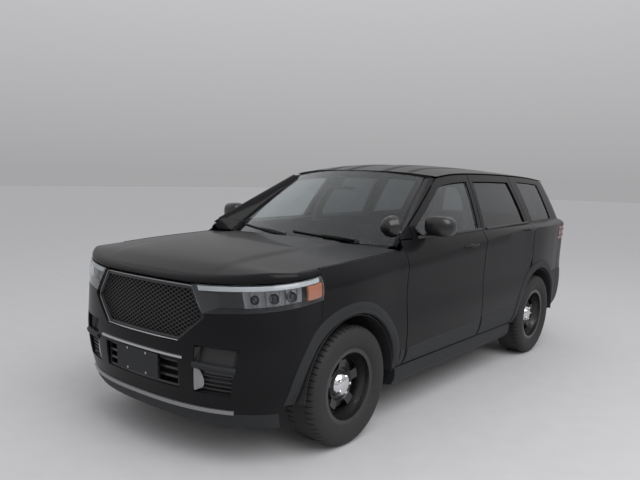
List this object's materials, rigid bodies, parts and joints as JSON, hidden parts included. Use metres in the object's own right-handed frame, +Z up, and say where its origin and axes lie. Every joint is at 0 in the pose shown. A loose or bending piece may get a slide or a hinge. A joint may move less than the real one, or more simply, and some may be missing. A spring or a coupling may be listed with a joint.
{
  "type": "police sport utility vehicle",
  "caption": "Five-door patrol sport utility vehicle with opening doors, hood and liftgate, steered front wheels, steel wheels and a pillar spotlight.",
  "frame": {"origin": "on the ground at the middle of the vehicle's box", "axes": "+Z up, the nose faces -Y, the vehicle's left side is +X"},
  "size_m": [2.2434, 5.0496, 1.7662],
  "materials": {
    "paint": "gloss",
    "trim": "grained",
    "grille": "satin",
    "lamp": "bright",
    "lens": "clear",
    "tail": "clear red",
    "glass": "tinted",
    "wheel": "satin",
    "tyre": "matte",
    "steel": "rough",
    "exhaust": "brushed",
    "tank": "moulded",
    "spot": "gloss",
    "cabin": "grained",
    "seat": "woven"
  },
  "bodies": {
    "body": {"fenders": "paint", "front_bumper": "paint", "quarter_panels": "paint", "roof_panel": "paint", "windshield": "glass", "grille": "grille", "headlamps": "lamp", "headlamp_lenses": "lens", "lower_grille": "grille", "corner_vents": "trim", "rear_bumper": "trim", "tail_lamps": "tail", "floor_pan": "trim", "sills": "trim", "engine_bay": "paint", "engine": "steel", "front_pillars": "paint", "door_pillars": "paint", "quarter_glass": "glass", "cowl": "trim", "roof_rails": "trim", "arch_mouldings": "trim", "wheel_liners": "trim", "spotlight": "spot", "dashboard": "cabin", "steering_wheel": "cabin", "front_seats": "seat", "rear_bench": "seat", "front_subframe": "steel", "rear_subframe": "steel", "fuel_tank": "tank", "exhaust": "exhaust", "plate_bracket": "trim"},
    "door_front_left": {"door_front_left": "paint", "glass_front_left": "glass", "mirror_left": "paint"},
    "door_front_right": {"door_front_right": "paint", "glass_front_right": "glass", "mirror_right": "paint"},
    "door_rear_left": {"door_rear_left": "paint", "glass_rear_left": "glass"},
    "door_rear_right": {"door_rear_right": "paint", "glass_rear_right": "glass"},
    "hood": {"hood": "paint"},
    "liftgate": {"liftgate": "paint", "liftgate_glass": "glass"},
    "knuckle_left": {"knuckle_left": "steel"},
    "knuckle_right": {"knuckle_right": "steel"},
    "wheel_front_left": {"wheel_front_left": "wheel", "tyre_front_left": "tyre"},
    "wheel_front_right": {"wheel_front_right": "wheel", "tyre_front_right": "tyre"},
    "wheel_rear_left": {"wheel_rear_left": "wheel", "tyre_rear_left": "tyre"},
    "wheel_rear_right": {"wheel_rear_right": "wheel", "tyre_rear_right": "tyre"}
  },
  "joints": [
    {"name": "front_door_left", "type": "hinge", "parent": "body", "child": "door_front_left", "pos_m": [0.95869, -0.93415, 0.8], "axis": [0, 0, -1], "range_deg": [0, 66]},
    {"name": "rear_door_left", "type": "hinge", "parent": "body", "child": "door_rear_left", "pos_m": [0.96064, 0.2415, 0.8], "axis": [0, 0, -1], "range_deg": [0, 68]},
    {"name": "front_door_right", "type": "hinge", "parent": "body", "child": "door_front_right", "pos_m": [-0.95869, -0.93415, 0.8], "axis": [0, 0, 1], "range_deg": [0, 66]},
    {"name": "rear_door_right", "type": "hinge", "parent": "body", "child": "door_rear_right", "pos_m": [-0.96064, 0.2415, 0.8], "axis": [0, 0, 1], "range_deg": [0, 68]},
    {"name": "hood_lift", "type": "hinge", "parent": "body", "child": "hood", "pos_m": [0, -1.095, 1.163], "axis": [-1, 0, 0], "range_deg": [0, 46]},
    {"name": "gate_lift", "type": "hinge", "parent": "body", "child": "liftgate", "pos_m": [0, 2.115, 1.656], "axis": [1, 0, 0], "range_deg": [0, 84]},
    {"name": "steer_left", "type": "hinge", "parent": "body", "child": "knuckle_left", "pos_m": [0.775, -1.653, 0.381], "axis": [0, 0, 1], "range_deg": [-34, 34]},
    {"name": "steer_right", "type": "hinge", "parent": "body", "child": "knuckle_right", "pos_m": [-0.775, -1.653, 0.381], "axis": [0, 0, 1], "range_deg": [-34, 34]},
    {"name": "spin_front_left", "type": "hinge", "parent": "knuckle_left", "child": "wheel_front_left", "pos_m": [0.85, -1.653, 0.381], "axis": [1, 0, 0], "continuous": true},
    {"name": "spin_front_right", "type": "hinge", "parent": "knuckle_right", "child": "wheel_front_right", "pos_m": [-0.85, -1.653, 0.381], "axis": [1, 0, 0], "continuous": true},
    {"name": "spin_rear_left", "type": "hinge", "parent": "body", "child": "wheel_rear_left", "pos_m": [0.85, 1.372, 0.381], "axis": [1, 0, 0], "continuous": true},
    {"name": "spin_rear_right", "type": "hinge", "parent": "body", "child": "wheel_rear_right", "pos_m": [-0.85, 1.372, 0.381], "axis": [1, 0, 0], "continuous": true}
  ],
  "couplings": [
    {"joint": "steer_right", "follows": "steer_left", "ratio": 1}
  ]
}
